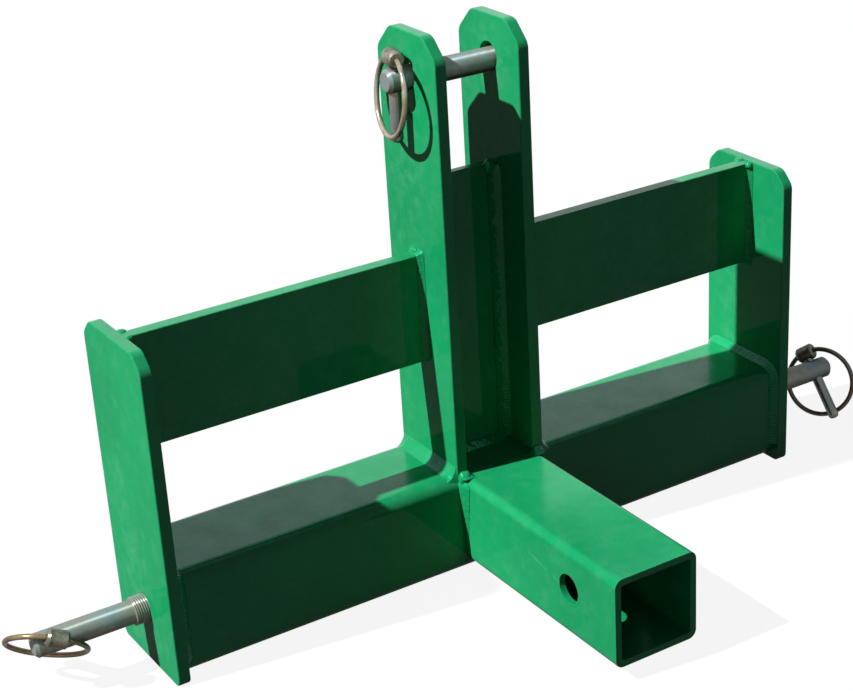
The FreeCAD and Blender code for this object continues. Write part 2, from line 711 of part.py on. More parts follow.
def receiver_top_weld():
    """The bead that fills the groove between the receiver, the tube's corner and the masts."""
    body = make_body("receiver_top_weld")
    section = make_sketch(body, "section", "YZ_Plane")
    draw_polyline(section, [
        (minus(f"{TUBE_FRONT} + Sizes.receiver_top_bead"), RECEIVER_TOP),
        (minus(TUBE_FRONT), RECEIVER_TOP),
        (minus("Sizes.mast_depth / 2"), TUBE_TOP),
        (minus("Sizes.mast_depth / 2"), f"{TUBE_TOP} + Sizes.receiver_bead"),
    ], True)
    pad(body, section, f"2 * {MAST_OUTSIDE}")
    place(body)
    return body


def build():
    """Make every piece and return them in the order of their names in the part list."""
    tube = cross_tube()
    pieces = [tube, receiver_tube(), mast_web(), web_weld(), receiver_top_weld(), top_link_pin()]
    for side in ("left", "right"):
        pieces += [end_plate(side), mast_plate(side), crossbar(side), lower_pin(side), pin_nut(side)]
        pieces += [end_plate_weld(side), bar_mast_weld(side), bar_plate_weld(side)]
        pieces += [mast_weld(side, tube), receiver_side_weld(side)]
    for which in ("left", "right", "top"):
        pieces += [linch_pin(which), linch_ring(which)]
    doc.recompute()
    return pieces


def check(pieces):
    """Stop if any object failed or any piece is empty or broken."""
    for item in doc.Objects:
        if "Invalid" in item.State or "Error" in item.State:
            raise RuntimeError(f"{item.Name} did not build")
    for piece in pieces:
        if piece.Shape.isNull() or not piece.Shape.isValid() or not piece.Shape.Solids:
            raise RuntimeError(f"{piece.Label} has no valid solid")


def write(pieces):
    os.makedirs("parts", exist_ok=True)
    for piece in pieces:
        piece.Shape.exportStep(f"parts/{piece.Label}.step")
        box = piece.Shape.BoundBox
        print(piece.Label, len(piece.Shape.Solids), round(piece.Shape.Volume, 1), box)


make_sheet()
drawbar = build()
check(drawbar)
write(drawbar)
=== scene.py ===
import json
import math

import bmesh
import bpy
from mathutils import Euler, Matrix, Vector, noise


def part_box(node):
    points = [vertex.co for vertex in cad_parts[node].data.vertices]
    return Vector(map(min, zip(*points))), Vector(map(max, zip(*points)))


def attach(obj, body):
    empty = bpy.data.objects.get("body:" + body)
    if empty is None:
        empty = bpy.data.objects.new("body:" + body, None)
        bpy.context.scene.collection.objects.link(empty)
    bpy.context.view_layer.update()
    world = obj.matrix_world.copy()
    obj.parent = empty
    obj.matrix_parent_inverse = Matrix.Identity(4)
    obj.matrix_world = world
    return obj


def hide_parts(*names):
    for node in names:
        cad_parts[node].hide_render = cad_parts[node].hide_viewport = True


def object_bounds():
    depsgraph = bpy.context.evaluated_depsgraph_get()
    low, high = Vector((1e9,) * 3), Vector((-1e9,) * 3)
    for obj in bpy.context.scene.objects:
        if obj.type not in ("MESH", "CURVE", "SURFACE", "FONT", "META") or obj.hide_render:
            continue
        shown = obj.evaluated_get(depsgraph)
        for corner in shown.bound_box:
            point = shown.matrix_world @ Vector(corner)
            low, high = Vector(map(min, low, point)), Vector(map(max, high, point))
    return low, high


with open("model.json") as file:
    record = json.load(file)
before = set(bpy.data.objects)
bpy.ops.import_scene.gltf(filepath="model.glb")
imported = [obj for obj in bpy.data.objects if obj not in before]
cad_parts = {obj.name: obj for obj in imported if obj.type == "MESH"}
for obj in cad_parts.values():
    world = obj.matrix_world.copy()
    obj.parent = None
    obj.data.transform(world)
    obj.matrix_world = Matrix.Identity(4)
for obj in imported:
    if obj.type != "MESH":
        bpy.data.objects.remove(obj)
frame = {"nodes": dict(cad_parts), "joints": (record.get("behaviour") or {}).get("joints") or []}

MM = 0.001
CAD_BOX = [list(corner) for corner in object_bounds()]
SIDES = ((-1, "left"), (1, "right"))

# Photograph and camera
IMAGE_WIDTH = 853
IMAGE_HEIGHT = 691
FOCAL_PIXELS = 1962.7
PRINCIPAL_POINT = (492.9, 364.4)
CAMERA_PLACE = (-0.6398, -1.0306, 0.6581)
CAMERA_YAW = math.radians(32.61)
CAMERA_PITCH = math.radians(24.85)
CAMERA_ROLL = math.radians(-2.63)
SENSOR_WIDTH = 36.0

# Light and background
KEY_DIRECTION = (-1.0, 0.122, 1.015)
KEY_STRENGTH = 5.7
KEY_SPREAD = math.radians(0.9)
SKY_COLOUR = (0.90, 0.96, 1.0, 1)
SKY_STRENGTH = 0.065
FLOOR_SHADE = 0.08
FLOOR_GLOW = 0.90

# Paint and metal colours
PAINT_GREEN = (0.010, 0.330, 0.118)
PAINT_DEEP = (0.006, 0.255, 0.090)
# Pale dust, also the colour of the paler edges: thin paint and a painted highlight
PAINT_DUST_AND_EDGE_HIGHLIGHT = (0.220, 0.500, 0.340)
# Tint of the painted sky reflection on enamel faces that look up
SKY_SHEEN = (0.05, 1.00, 0.88)
ZINC_PALE = (0.270, 0.350, 0.365)
ZINC_WARM = (0.320, 0.325, 0.265)
ZINC_DARK = (0.120, 0.110, 0.090)
# Painted shade and ground reflection on the zinc's undersides
ZINC_UNDERSIDE_SHADE = (0.095, 0.065, 0.035)
ZINC_RIM = (0.200, 0.190, 0.130)
LINCH_GREY = (0.200, 0.230, 0.260)
RING_GOLD = (0.340, 0.250, 0.150)
RING_BROWN = (0.140, 0.090, 0.050)
RING_GREY = (0.130, 0.130, 0.135)
RING_PALE = (0.480, 0.460, 0.410)
CAST_GREY = (0.165, 0.160, 0.130)
CAST_DARK = (0.040, 0.036, 0.030)

# Plates, as in the solids
PLATE_CLIP = 10 * MM
MAST_FRONT_CLIP = 14 * MM
MAST_BACK_CLIP = 16 * MM
MAST_BORE_RADIUS = 10 * MM
MAST_BORE_DROP = 28.3 * MM
CLIP_ROUNDING = 9.5 * MM
PLATE_FOOT_ROUNDING = 5 * MM
MAST_FOOT_ROUNDING = 1.5 * MM
CUT_EDGE = 1.0 * MM
FLAT_BAR_EDGE = 0.7 * MM
PLAIN_EDGE = 0.4 * MM

# Small parts, as in the solids
TUBE_CORNER = 9 * MM
RECEIVER_WALL = 4.8 * MM
PIN_RADIUS = 7.95 * MM
PIN_TIP_BEVEL = 2 * MM
THREAD_RADIUS = 9.5 * MM
THREAD_PITCH = 1.59 * MM
THREAD_DEPTH = 0.85 * MM
THREAD_SHOW = 9.5 * MM
THREAD_RUN_OUT = 1.2 * MM
THREAD_LEAD_IN = 0.7 * MM
THREAD_STEEPNESS = 2.6
SHARP_STEP = 0.01 * MM
LINCH_RADIUS = 4 * MM
LINCH_TAIL = 55 * MM
LINCH_ROUNDING = 3 * MM
HEAD_RADIUS = 6 * MM
HEAD_HALF = 7 * MM
HEAD_BEVEL = 1.5 * MM
HEAD_DENT = 0.16 * MM
WIRE_RADIUS = 1.8 * MM
RING_RADIUS = 25.7 * MM
RING_BEND = 4 * MM
RING_END_GAP = 0.5 * MM
RING_GAP = 0.3 * MM
HOLE_GAP = 0.25 * MM

# Steps round curved forms
CORNER_STEPS = 8
TURN_STEPS = 6
ARCH_STEPS = 12
FOOT_STEPS = 12
BEND_STEPS = 6
ARC_STEPS = 70
WIRE_SIDES = 20
LUMP_ROWS = 12
LUMP_SIDES = 20

# Weld beads
RIPPLE_PITCH = 2.3 * MM
BEAD_STEP = 0.45 * MM
BEAD_SEAT = 0.12 * MM
BEAD_STRIPS = 10
BEAD_TAPER = 0.45
BEAD_END_SHARE = 0.12
RIPPLE_BOW = 0.35
WANDER = 0.25
WANDER_SCALE = 160
ROUGHNESS = 0.45
ROUGHNESS_SCALE = 330
SWELL = 0.9
SWELL_SCALE = 70
LUMP_SWELL = 0.16
LUMP_ROUGHNESS = 0.05
END_BEAD = 5.9 * MM
END_BEAD_RISE = 4.9 * MM
BAR_BEAD = 3.9 * MM
MAST_BEAD = 7.6 * MM
WEB_BEAD = 7.2 * MM
WEB_FOOT_BEAD = 5 * MM
RECEIVER_TOP_BEAD = 5.5 * MM
RECEIVER_TOP_RISE = 1 * MM
RECEIVER_MAST_RISE = 4.4 * MM


def axis_vector(values):
    """A direction of length one."""
    return Vector(values).normalized()


def smooth_mesh(name, vertices, faces):
    """Make a smooth-shaded mesh object, its faces turned outwards, in the scene."""
    mesh = bpy.data.meshes.new(name)
    mesh.from_pydata([tuple(vertex) for vertex in vertices], [], faces)
    shape = bmesh.new()
    shape.from_mesh(mesh)
    bmesh.ops.recalc_face_normals(shape, faces=shape.faces)
    shape.to_mesh(mesh)
    shape.free()
    for polygon in mesh.polygons:
        polygon.use_smooth = True
    piece = bpy.data.objects.new(name, mesh)
    bpy.context.scene.collection.objects.link(piece)
    return piece


def dress(piece, body, material, slot, *nodes):
    """Give a new piece its material, its body and the nodes that it stands for."""
    piece.data.materials.clear()
    piece.data.materials.append(material)
    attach(piece, body)
    if nodes:
        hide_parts(*nodes)
    return piece


def join_rings(rings):
    """List the faces between rows of vertices, each row closed on itself, with end caps."""
    count = len(rings[0])
    vertices = [vertex for ring in rings for vertex in ring]
    faces = []
    for row in range(len(rings) - 1):
        here = row * count
        following = here + count
        for step in range(count):
            after = (step + 1) % count
            faces.append((here + step, here + after, following + after, following + step))
    faces.append(tuple(reversed(range(count))))
    faces.append(tuple(range(len(vertices) - count, len(vertices))))
    return vertices, faces


# Camera, stage and lights

def make_camera():
    """The photograph's camera."""
    data = bpy.data.cameras.new("camera")
    data.sensor_width = SENSOR_WIDTH
    data.lens = FOCAL_PIXELS / IMAGE_WIDTH * SENSOR_WIDTH
    data.shift_x = (IMAGE_WIDTH / 2 - PRINCIPAL_POINT[0]) / IMAGE_WIDTH
    data.shift_y = (PRINCIPAL_POINT[1] - IMAGE_HEIGHT / 2) / IMAGE_WIDTH
    data.clip_start = 0.05
    data.clip_end = 50
    camera = bpy.data.objects.new("camera", data)
    camera.location = CAMERA_PLACE
    level = Euler((math.pi / 2 - CAMERA_PITCH, 0, -CAMERA_YAW)).to_matrix()
    camera.rotation_euler = (level @ Matrix.Rotation(CAMERA_ROLL, 3, "Z")).to_euler()
    bpy.context.scene.collection.objects.link(camera)
    bpy.context.scene.camera = camera


def seen_directly(tree):
    """One for rays that show the background, straight, mirrored or through glass, else nought."""
    path = tree.nodes.new("ShaderNodeLightPath")
    total = path.outputs["Is Camera Ray"]
    for ray in ("Is Glossy Ray", "Is Transmission Ray"):
        either = tree.nodes.new("ShaderNodeMath")
        either.operation = "MAXIMUM"
        tree.links.new(total, either.inputs[0])
        tree.links.new(path.outputs[ray], either.inputs[1])
        total = either.outputs[0]
    return total


def make_floor(height):
    """A wide floor that looks white to the camera and keeps the object's shadow."""
    size = 12
    square = ((-size, -size), (size, -size), (size, size), (-size, size))
    corners = [(x, y, height) for x, y in square]
    floor = smooth_mesh("floor", corners, [(0, 1, 2, 3)])
    material = bpy.data.materials.new("floor_white")
    material.use_nodes = True
    tree = material.node_tree
    tree.nodes.clear()
    diffuse = tree.nodes.new("ShaderNodeBsdfDiffuse")
    diffuse.inputs["Color"].default_value = (FLOOR_SHADE, FLOOR_SHADE, FLOOR_SHADE, 1)
    glow = tree.nodes.new("ShaderNodeEmission")
    glow.inputs["Color"].default_value = (1, 1, 1, 1)
    strength = tree.nodes.new("ShaderNodeMath")
    strength.operation = "MULTIPLY"
    strength.inputs[1].default_value = FLOOR_GLOW
    total = tree.nodes.new("ShaderNodeAddShader")
    output = tree.nodes.new("ShaderNodeOutputMaterial")
    tree.links.new(seen_directly(tree), strength.inputs[0])
    tree.links.new(strength.outputs[0], glow.inputs["Strength"])
    tree.links.new(diffuse.outputs[0], total.inputs[0])
    tree.links.new(glow.outputs[0], total.inputs[1])
    tree.links.new(total.outputs[0], output.inputs["Surface"])
    floor.data.materials.append(material)


def make_world():
    """A dim even surround that looks white to the camera and in reflections."""
    world = bpy.data.worlds.new("surround")
    world.use_nodes = True
    bpy.context.scene.world = world
    tree = world.node_tree
    tree.nodes.clear()
    mix = tree.nodes.new("ShaderNodeMixShader")
    tree.links.new(seen_directly(tree), mix.inputs["Fac"])
    for socket, colour, strength in ((1, SKY_COLOUR, SKY_STRENGTH), (2, (1, 1, 1, 1), 1.0)):
        background = tree.nodes.new("ShaderNodeBackground")
        background.inputs["Color"].default_value = colour
        background.inputs["Strength"].default_value = strength
        tree.links.new(background.outputs[0], mix.inputs[socket])
    output = tree.nodes.new("ShaderNodeOutputWorld")
    tree.links.new(mix.outputs[0], output.inputs["Surface"])


def make_light():
    """One distant lamp, high on the left and a little behind."""
    data = bpy.data.lights.new("key", "SUN")
    data.energy = KEY_STRENGTH
    data.angle = KEY_SPREAD
    light = bpy.data.objects.new("key", data)
    away = axis_vector(KEY_DIRECTION)
    light.location = away
    light.rotation_euler = away.to_track_quat("Z", "Y").to_euler()
    bpy.context.scene.collection.objects.link(light)


# Materials

class Nodes:
    """A short way to add and join shader nodes."""

    def __init__(self, name):
        self.material = bpy.data.materials.new(name)
        self.material.use_nodes = True
        self.tree = self.material.node_tree
        self.shader = self.tree.nodes["Principled BSDF"]
        coordinates = self.tree.nodes.new("ShaderNodeTexCoord")
        self.place = coordinates.outputs["Object"]
        self.facing = coordinates.outputs["Normal"]

    def add(self, kind, **settings):
        """A new node with its own settings."""
        node = self.tree.nodes.new(kind)
        for key, value in settings.items():
            setattr(node, key, value)
        return node

    def join(self, output, target):
        """Lead one node's output to another's input."""
        self.tree.links.new(output, target)

    def stretch(self, scale):
        """Coordinates scaled by a different factor on each axis."""
        node = self.add("ShaderNodeMapping")
        node.inputs["Scale"].default_value = scale
        self.join(self.place, node.inputs["Vector"])
        return node.outputs["Vector"]

    def upward(self):
        """How far a surface faces up, from minus one to one."""
        parts = self.add("ShaderNodeSeparateXYZ")
        self.join(self.facing, parts.inputs[0])
        return parts.outputs["Z"]

    def noise(self, scale, detail=3, roughness=0.55, place=None):
        """Cloudy noise from nought to one, finer with a larger scale."""
        node = self.add("ShaderNodeTexNoise")
        node.inputs["Scale"].default_value = scale
        node.inputs["Detail"].default_value = detail
        node.inputs["Roughness"].default_value = roughness
        self.join(place or self.place, node.inputs["Vector"])
        return node.outputs["Fac"]

    def ramp(self, value, low, high, start=0.0, end=1.0):
        """Spread a value's range from low..high to start..end, held at both ends."""
        node = self.add("ShaderNodeMapRange")
        node.inputs["From Min"].default_value = low
        node.inputs["From Max"].default_value = high
        node.inputs["To Min"].default_value = start
        node.inputs["To Max"].default_value = end
        self.join(value, node.inputs["Value"])
        return node.outputs["Result"]

    def math(self, operation, first, second):
        """Work on two values, each a number or a node's output."""
        node = self.add("ShaderNodeMath", operation=operation)
        for value, target in ((first, node.inputs[0]), (second, node.inputs[1])):
            if isinstance(value, (int, float)):
                target.default_value = value
            else:
                self.join(value, target)
        return node.outputs[0]

    def blend(self, share, first, second):
        """Mix two colours, each a tuple or a node's output."""
        node = self.add("ShaderNodeMix", data_type="RGBA")
        self.join(share, node.inputs["Factor"])
        for value, target in ((first, node.inputs["A"]), (second, node.inputs["B"])):
            if isinstance(value, tuple):
                target.default_value = (*value, 1)
            else:
                self.join(value, target)
        return node.outputs["Result"]

    def bump(self, height, distance, strength, under=None):
        """Tilt the surface by a height map, over an earlier bump if there is one."""
        node = self.add("ShaderNodeBump")
        node.inputs["Distance"].default_value = distance
        node.inputs["Strength"].default_value = strength
        self.join(height, node.inputs["Height"])
        if under:
            self.join(under, node.inputs["Normal"])
        return node.outputs["Normal"]


def paint_material(name, peel, pits, edge_wear_and_highlight, level):
    """Thick glossy enamel: slight clouding, thin paint and a painted highlight on edges, orange
    peel, a few pits, and a painted sky reflection on faces that look up.
    """
    make = Nodes(name)
    cloud = make.ramp(make.noise(scale=7, detail=4), low=0.35, high=0.70)
    colour = make.blend(cloud, PAINT_DEEP, PAINT_GREEN)
    grain = make.noise(scale=60, detail=6, roughness=0.7)
    colour = make.blend(make.ramp(grain, low=0.52, high=0.78, end=0.08), colour, PAINT_DUST_AND_EDGE_HIGHLIGHT)
    geometry = make.add("ShaderNodeNewGeometry")
    # Pointy edges made paler in patches: thin paint, and a painted highlight along the edges
    edges = make.ramp(geometry.outputs["Pointiness"], low=0.52, high=0.62, end=edge_wear_and_highlight)
    patches = make.ramp(make.noise(scale=120, detail=4), low=0.4, high=0.7)
    colour = make.blend(make.math("MULTIPLY", edges, patches), colour, PAINT_DUST_AND_EDGE_HIGHLIGHT)
    make.join(colour, make.shader.inputs["Base Color"])
    dull = make.noise(scale=22, detail=5, roughness=0.65)
    dull = make.ramp(dull, low=0.35, high=0.75, start=0.16, end=0.36)
    make.join(dull, make.shader.inputs["Roughness"])
    wave = make.bump(make.noise(scale=38, detail=2), distance=0.0016, strength=0.10)
    skin = make.bump(make.noise(scale=420, detail=2), distance=0.0004, strength=peel, under=wave)
    specks = make.ramp(make.noise(scale=900, detail=2, roughness=0.5), low=0.66, high=0.74)
    surface = make.bump(specks, distance=0.0003, strength=pits, under=skin)
    make.join(surface, make.shader.inputs["Normal"])
    # Painted sky reflection: faces that look up reflect more, tinted by SKY_SHEEN, in mottled
    # patches
    sheen_mottle = make.noise(scale=48, detail=5, roughness=0.7)
    sheen_mottle = make.ramp(sheen_mottle, low=0.30, high=0.75, start=0.24, end=0.54)
    facing_up = make.ramp(make.upward(), low=level, high=0.98)
    gloss = make.math("MULTIPLY", facing_up, sheen_mottle)
    make.join(gloss, make.shader.inputs["Specular IOR Level"])
    make.shader.inputs["Specular Tint"].default_value = (*SKY_SHEEN, 1)
    make.shader.inputs["Coat Weight"].default_value = 0.10
    make.shader.inputs["Coat Roughness"].default_value = 0.05
    return make.material


def zinc_material(name, pale, warm, dark, stain, grit, rough, turned=0.0):
    """Zinc plating: cloudy tint, a painted shade and ground reflection browning the undersides, dark
    stains, fine scratches and grit.

    Turned metal spreads its highlight along the X axis."""
    make = Nodes(name)
    tint = make.ramp(make.noise(scale=45, detail=4, roughness=0.6), low=0.38, high=0.66)
    colour = make.blend(tint, pale, warm)
    spots = make.noise(scale=150, detail=5, roughness=0.7)
    colour = make.blend(make.ramp(spots, low=0.50, high=0.72, end=stain), colour, dark)
    # Painted shade and ground reflection: faces that look down turn dark brown
    colour = make.blend(make.ramp(make.upward(), low=-0.65, high=0.35), ZINC_UNDERSIDE_SHADE, colour)
    make.join(colour, make.shader.inputs["Base Color"])
    make.shader.inputs["Metallic"].default_value = 0.45
    make.shader.inputs["Specular Tint"].default_value = (*ZINC_RIM, 1)
    make.shader.inputs["Specular IOR Level"].default_value = 0.25
    make.shader.inputs["Anisotropic"].default_value = turned
    axis = make.add("ShaderNodeCombineXYZ")
    axis.inputs["X"].default_value = 1
    make.join(axis.outputs[0], make.shader.inputs["Tangent"])
    dull = make.noise(scale=220, detail=4)
    dull = make.ramp(dull, low=0.3, high=0.7, start=rough, end=rough + 0.2)
    make.join(dull, make.shader.inputs["Roughness"])
    scratches = make.noise(scale=70, detail=3, place=make.stretch((60, 4, 4)))
    lines = make.bump(scratches, distance=0.0002, strength=0.12)
    grains = make.noise(scale=900, detail=4, roughness=0.7)
    surface = make.bump(grains, distance=0.0003, strength=grit, under=lines)
    make.join(surface, make.shader.inputs["Normal"])
    return make.material


def soften_edges(piece, width):
    """Round a carried-over solid's sharp edges a little, as flame cutting and paint leave them."""
    weld = piece.modifiers.new("merge", "WELD")
    weld.merge_threshold = 0.01 * MM
    flat = piece.modifiers.new("flat_faces", "DECIMATE")
    flat.decimate_type = "DISSOLVE"
    flat.angle_limit = math.radians(0.5)
    bevel = piece.modifiers.new("edges", "BEVEL")
    bevel.width = width
    bevel.segments = 3
    bevel.limit_method = "ANGLE"
    bevel.angle_limit = math.radians(42)
    bevel.use_clamp_overlap = True
    piece.modifiers.new("normals", "WEIGHTED_NORMAL")


def finish_solids(paint, zinc):
    """Give the carried-over solids their materials and soft edges."""
    for name, piece in frame["nodes"].items():
        metal = name.endswith(("pin", "nut", "ring"))
        piece.data.materials.clear()
        piece.data.materials.append(zinc if metal else paint)
        flat_bar = name.endswith(("crossbar", "web_plate"))
        soften_edges(piece, FLAT_BAR_EDGE if flat_bar else PLAIN_EDGE)


def rounded_outline(corners, roundings):
    """Arcs round a convex outline's corners, as rows of centre, outward direction and radius."""
    arcs = []
    for number, (corner, radius) in enumerate(zip(corners, roundings)):
        before = (corner - corners[number - 1]).normalized()
        after = (corners[(number + 1) % len(corners)] - corner).normalized()
        out_before = Vector((before.y, -before.x))
        out_after = Vector((after.y, -after.x))
        middle = (out_before + out_after).normalized()
        centre = corner - middle * (radius / middle.dot(out_before))
        for step in range(CORNER_STEPS + 1):
            out = out_before.lerp(out_after, step / CORNER_STEPS).normalized()
            arcs.append((centre, out, radius))
    return arcs


def rounded_plate(name, front_clip, back_clip, foot, paint, bore_height, bore_radius):
    """A flame-cut plate with its clipped corners and its edges rounded, and its bore."""
    low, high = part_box(name)
    corners = [
        (low.y, low.z), (high.y, low.z), (high.y, high.z - back_clip), (high.y - back_clip, high.z),
        (low.y + front_clip, high.z), (low.y, high.z - front_clip),
    ]
    roundings = [foot] * 2 + [CLIP_ROUNDING] * 4
    arcs = rounded_outline([Vector(corner) for corner in corners], roundings)
    layers = []
    for angle in (0, 30, 60, 90):
        turn = math.radians(angle)
        layers.append((CUT_EDGE * (1 - math.cos(turn)), CUT_EDGE * (1 - math.sin(turn))))
    rows = [(low.x + depth, inset) for depth, inset in layers]
    rows += [(high.x - depth, inset) for depth, inset in reversed(layers)]
    rings = []
    for x, inset in rows:
        flat = [centre + out * (radius - inset) for centre, out, radius in arcs]
        rings.append([Vector((x, point.x, point.y)) for point in flat])
    piece = smooth_mesh(f"{name}_cut", *join_rings(rings))
    cut_hole(piece, Vector((low.x, 0, bore_height)), (1, 0, 0), bore_radius, length=60 * MM)
    piece.modifiers.new("normals", "WEIGHTED_NORMAL").keep_sharp = True
    dress(piece, "frame", paint, "green_paint", name)


def plates(paint):
    """Both end plates and both mast plates."""
    thread_hole = THREAD_RADIUS + HOLE_GAP
    for side in ("left", "right"):
        name = f"{side}_end_plate"
        rounded_plate(name, PLATE_CLIP, PLATE_CLIP, PLATE_FOOT_ROUNDING, paint, 0, thread_hole)
        name = f"{side}_mast_plate"
        bore_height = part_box(name)[1].z - MAST_BORE_DROP
        rounded_plate(
            name, MAST_FRONT_CLIP, MAST_BACK_CLIP, MAST_FOOT_ROUNDING, paint,
            bore_height, MAST_BORE_RADIUS,
        )


# Weld beads

def bead_path(stations):
    """Resample stations of (corner, toe on one face, toe on the other) at even small steps."""
    middles = [(toe_a + toe_b) / 2 for _, toe_a, toe_b in stations]
    lengths = [0.0]
    for first, second in zip(middles, middles[1:]):
        lengths.append(lengths[-1] + (second - first).length)
    count = max(4, round(lengths[-1] / BEAD_STEP))
    samples = []
    place = 0
    for step in range(count + 1):
        along = lengths[-1] * step / count
        while place < len(lengths) - 2 and lengths[place + 1] < along:
            place += 1
        span = max(lengths[place + 1] - lengths[place], 1e-9)
        share = min(1.0, (along - lengths[place]) / span)
        blended = [a.lerp(b, share) for a, b in zip(stations[place], stations[place + 1])]
        samples.append((along, *blended))
    return samples, lengths[-1]


def bead_section(sample, length, bead):
    """One closed outline across a bead: a rippled crown between its toes, and its root."""
    along, corner, toe_a, toe_b = sample
    spread = (toe_b - toe_a).length
    end = min(along, length - along)
    closing = min(1.0, end / (BEAD_TAPER * spread + 1e-6))
    rounding = math.sqrt(max(0.0, 1 - (1 - closing) ** 2))
    ease = BEAD_END_SHARE + (1 - BEAD_END_SHARE) * rounding
    outward = ((toe_a + toe_b) / 2 - corner).normalized()
    root = corner - outward * BEAD_SEAT
    seed = bead["seed"]
    points = []
    for strip in range(BEAD_STRIPS + 1):
        share = strip / BEAD_STRIPS
        crown = 4 * share * (1 - share)
        point = toe_a.lerp(toe_b, share) + outward * (bead["bulge"] * spread * crown - BEAD_SEAT)
        phase = (along + RIPPLE_BOW * RIPPLE_PITCH * (1 - crown)) / RIPPLE_PITCH
        wander = WANDER * noise.noise(Vector((along * WANDER_SCALE, seed, 0)))
        ripple = abs(math.sin(math.pi * (phase + wander)))
        rough = noise.noise(point * ROUGHNESS_SCALE + Vector((seed, 0, 0)))
        swell = noise.noise(point * SWELL_SCALE + Vector((0, seed, 0)))
        height = bead["ripple"] * (ripple - 0.6) * crown
        height += bead["lump"] * (ROUGHNESS * rough + SWELL * swell) * (0.35 + crown)
        points.append(root.lerp(point + outward * height, ease))
    points.append(root)
    return points


def bead_mesh(stations, bead):
    """A bead's vertices and faces along its stations."""
    samples, length = bead_path(stations)
    return join_rings([bead_section(sample, length, bead) for sample in samples])


def weld_lump(centre, size, seed):
    """A rounded lump of weld metal where a bead stops or two beads meet."""
    rings = []
    for row in range(1, LUMP_ROWS):
        tilt = math.pi * row / LUMP_ROWS
        ring = []
        for step in range(LUMP_SIDES):
            turn = 2 * math.pi * step / LUMP_SIDES
            flat = math.sin(tilt)
            way = Vector((flat * math.cos(turn), flat * math.sin(turn), math.cos(tilt)))
            uneven = 1 + LUMP_SWELL * noise.noise(way * 1.7 + Vector((seed, 0, 0)))
            uneven += LUMP_ROUGHNESS * noise.noise(way * 5 + Vector((0, seed, 0)))
            ring.append(centre + Vector([part * extent * uneven for part, extent in zip(way, size)]))
        rings.append(ring)
    return join_rings(rings)


def add_mesh(mesh, more):
    """Add one list of vertices and faces to another."""
    vertices, faces = mesh
    new_vertices, new_faces = more
    faces += [tuple(index + len(vertices) for index in face) for face in new_faces]
    vertices += new_vertices


def make_bead(name, runs, paint, nodes, bead, lumps=()):
    """Join one or more bead runs and lumps into one painted piece."""
    mesh = ([], [])
    for number, run in enumerate(runs):
        add_mesh(mesh, bead_mesh(run, dict(bead, seed=bead["seed"] + 3.7 * number)))
    for number, (centre, size) in enumerate(lumps):
        add_mesh(mesh, weld_lump(Vector(centre), size, bead["seed"] + 1.3 * number))
    piece = smooth_mesh(name, *mesh)
    return dress(piece, "frame", paint, "green_paint", *nodes)


def bead_style(seed, bulge, ripple, lump):
    """A bead's seed, its bulge as a share of its width, and its ripples and lumps in millimetres."""
    return {"seed": seed, "bulge": bulge, "ripple": ripple * MM, "lump": lump * MM}


def outline_stations(corners, centre, along, leg_along, leg_out):
    """Stations round an outline in a plane, turning about each sharp corner.

    The bead lies on the bar with leg_along and on the plate with leg_out, away from the centre."""
    outs = []
    for first, second in zip(corners, corners[1:]):
        out = (second - first).cross(along).normalized()
        outs.append(out if out.dot((first + second) / 2 - centre) > 0 else -out)
    stations = []
    for number, (first, second) in enumerate(zip(corners, corners[1:])):
        if number:
            for step in range(1, TURN_STEPS):
                turned = outs[number - 1].lerp(outs[number], step / TURN_STEPS).normalized()
                stations.append((first, first + along * leg_along, first + turned * leg_out))
        for corner in (first, second):
            stations.append((corner, corner + along * leg_along, corner + outs[number] * leg_out))
    return stations


def arch_points(half, low, high, radius):
    """Points up one side of a rounded square, over its top and down, in the YZ plane."""
    points = [(-half, low)]
    for side, start in ((-1, math.pi), (1, math.pi / 2)):
        for step in range(ARCH_STEPS + 1):
            turn = start - math.pi / 2 * step / ARCH_STEPS
            across = side * (half - radius) + radius * math.cos(turn)
            points.append((across, high - radius + radius * math.sin(turn)))
    points.append((half, low))
    return points


def end_plate_welds(paint):
    """The beads on the inside of the end plates, round three sides of the cross tube."""
    tube_low, tube_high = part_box("cross_tube")
    half = tube_high.y
    for sign, side in SIDES:
        x = tube_high.x * sign
        inward = Vector((-sign, 0, 0))
        stations = []
        for y, z in arch_points(half, tube_low.z + TUBE_CORNER, tube_high.z, TUBE_CORNER):
            middle = max(-half + TUBE_CORNER, min(half - TUBE_CORNER, y))
            point = Vector((x, y, z))
            out = Vector((0, y - middle, max(0.0, z - tube_high.z + TUBE_CORNER))).normalized()
            stations.append((point, point + inward * END_BEAD, point + out * END_BEAD_RISE))
        name = f"{side}_end_plate_weld"
        style = bead_style(seed=5 + sign, bulge=0.02, ripple=0.50, lump=0.55)
        make_bead(f"{name}_bead", [stations], paint, [name], style)


